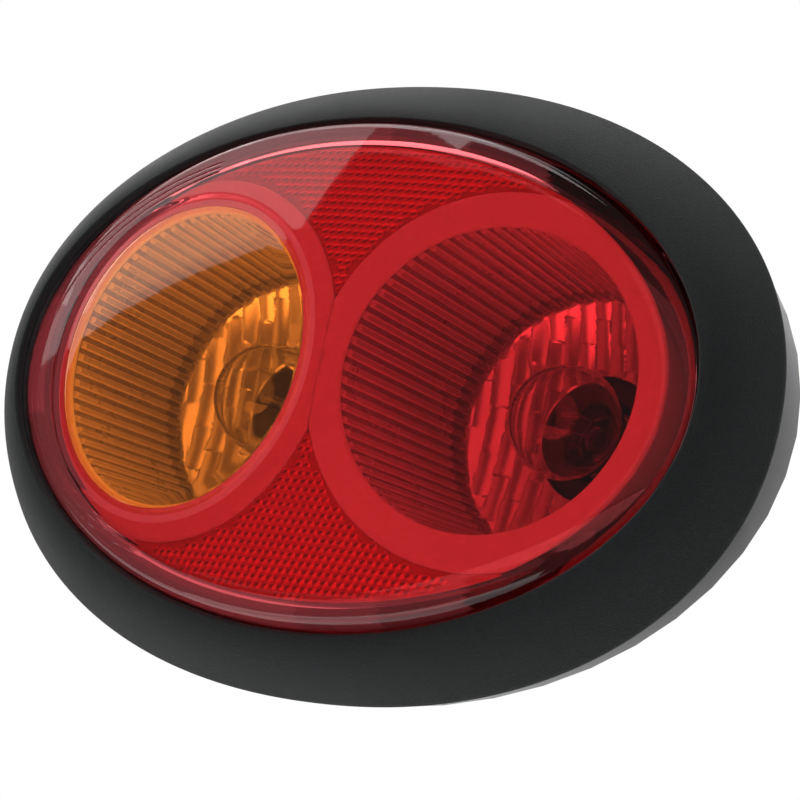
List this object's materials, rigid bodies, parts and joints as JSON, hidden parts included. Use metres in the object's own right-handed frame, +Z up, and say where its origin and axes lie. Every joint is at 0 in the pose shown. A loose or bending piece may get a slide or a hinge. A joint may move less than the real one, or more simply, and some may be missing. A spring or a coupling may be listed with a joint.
{
  "type": "trailer tail light",
  "caption": "Oval surface-mounted trailer tail light with an amber indicator and a red stop and tail chamber under a domed lens in a soft black bezel, with quarter-turn bulb holders behind.",
  "frame": {"origin": "centre of the mounting face, on the gasket between the two bulb turrets", "axes": "+X along the lamp's length towards the stop and tail chamber, +Y out of the mounting face into the panel, +Z up; the lens faces -Y"},
  "size_m": [0.2002, 0.1028, 0.1404],
  "materials": {
    "soft_black": "fine-grained soft-touch black",
    "gloss_black": "moulded gloss black",
    "red_lens": "transparent red, polished",
    "amber_lens": "transparent amber, polished",
    "rubber": "matt black",
    "grey_insert": "satin grey moulding",
    "silver_reflector": "vacuum-coated silver",
    "clear_glass": "clear",
    "filament_wire": "drawn wire",
    "plated_brass": "nickel-plated brass",
    "solder": "solder",
    "holder_black": "moulded matt black",
    "zinc_steel": "zinc plated"
  },
  "bodies": {
    "lamp": {"outer_bezel": "soft_black", "rear_housing": "gloss_black", "red_lens": "red_lens", "upper_reflex": "red_lens", "lower_reflex": "red_lens", "amber_lens": "amber_lens", "lens_seal": "rubber", "mounting_gasket": "rubber", "indicator_insert": "grey_insert", "stop_tail_insert": "grey_insert", "indicator_reflector": "silver_reflector", "stop_tail_reflector": "silver_reflector", "mounting_stud_upper": "zinc_steel", "mounting_stud_lower": "zinc_steel", "stud_washer_upper": "zinc_steel", "stud_washer_lower": "zinc_steel", "stud_nut_upper": "zinc_steel", "stud_nut_lower": "zinc_steel"},
    "indicator_holder": {"indicator_holder": "holder_black", "indicator_holder_seal": "rubber", "indicator_socket": "zinc_steel", "indicator_spring": "zinc_steel", "indicator_terminal_a": "plated_brass", "indicator_terminal_b": "plated_brass"},
    "indicator_contact": {"indicator_contact_plate": "holder_black", "indicator_plate_contact": "plated_brass"},
    "indicator_bulb": {"indicator_bulb_glass": "clear_glass", "indicator_bulb_stem": "clear_glass", "indicator_filament": "filament_wire", "indicator_bulb_cap": "plated_brass", "indicator_bulb_insulator": "gloss_black", "indicator_bulb_contact": "solder"},
    "stop_tail_holder": {"stop_tail_holder": "holder_black", "stop_tail_holder_seal": "rubber", "stop_tail_socket": "zinc_steel", "stop_tail_spring": "zinc_steel", "stop_tail_terminal_a": "plated_brass", "stop_tail_terminal_b": "plated_brass", "stop_tail_terminal_c": "plated_brass"},
    "stop_tail_contact": {"stop_tail_contact_plate": "holder_black", "stop_tail_plate_contact_a": "plated_brass", "stop_tail_plate_contact_b": "plated_brass"},
    "stop_tail_bulb": {"stop_tail_bulb_glass": "clear_glass", "stop_tail_bulb_stem": "clear_glass", "stop_filament": "filament_wire", "tail_filament": "filament_wire", "stop_tail_bulb_cap": "plated_brass", "stop_tail_bulb_insulator": "gloss_black", "stop_tail_bulb_contact_a": "solder", "stop_tail_bulb_contact_b": "solder"}
  },
  "joints": [
    {"name": "indicator_holder_turn", "type": "hinge", "parent": "lamp", "child": "indicator_holder", "pos_m": [-0.0391, 0.03, 0], "axis": [0, 1, 0], "range_deg": [0, 45]},
    {"name": "indicator_bulb_push", "type": "slide", "parent": "indicator_holder", "child": "indicator_contact", "axis": [0, 1, 0], "range_m": [0, 0.0025], "deforming": ["indicator_spring"]},
    {"name": "indicator_bulb_turn", "type": "hinge", "parent": "indicator_contact", "child": "indicator_bulb", "pos_m": [-0.0391, 0.03, 0], "axis": [0, -1, 0], "range_deg": [0, 20]},
    {"name": "stop_tail_holder_turn", "type": "hinge", "parent": "lamp", "child": "stop_tail_holder", "pos_m": [0.0391, 0.03, 0], "axis": [0, 1, 0], "range_deg": [0, 45]},
    {"name": "stop_tail_bulb_push", "type": "slide", "parent": "stop_tail_holder", "child": "stop_tail_contact", "axis": [0, 1, 0], "range_m": [0, 0.0025], "deforming": ["stop_tail_spring"]},
    {"name": "stop_tail_bulb_turn", "type": "hinge", "parent": "stop_tail_contact", "child": "stop_tail_bulb", "pos_m": [0.0391, 0.03, 0], "axis": [0, -1, 0], "range_deg": [0, 20]}
  ]
}
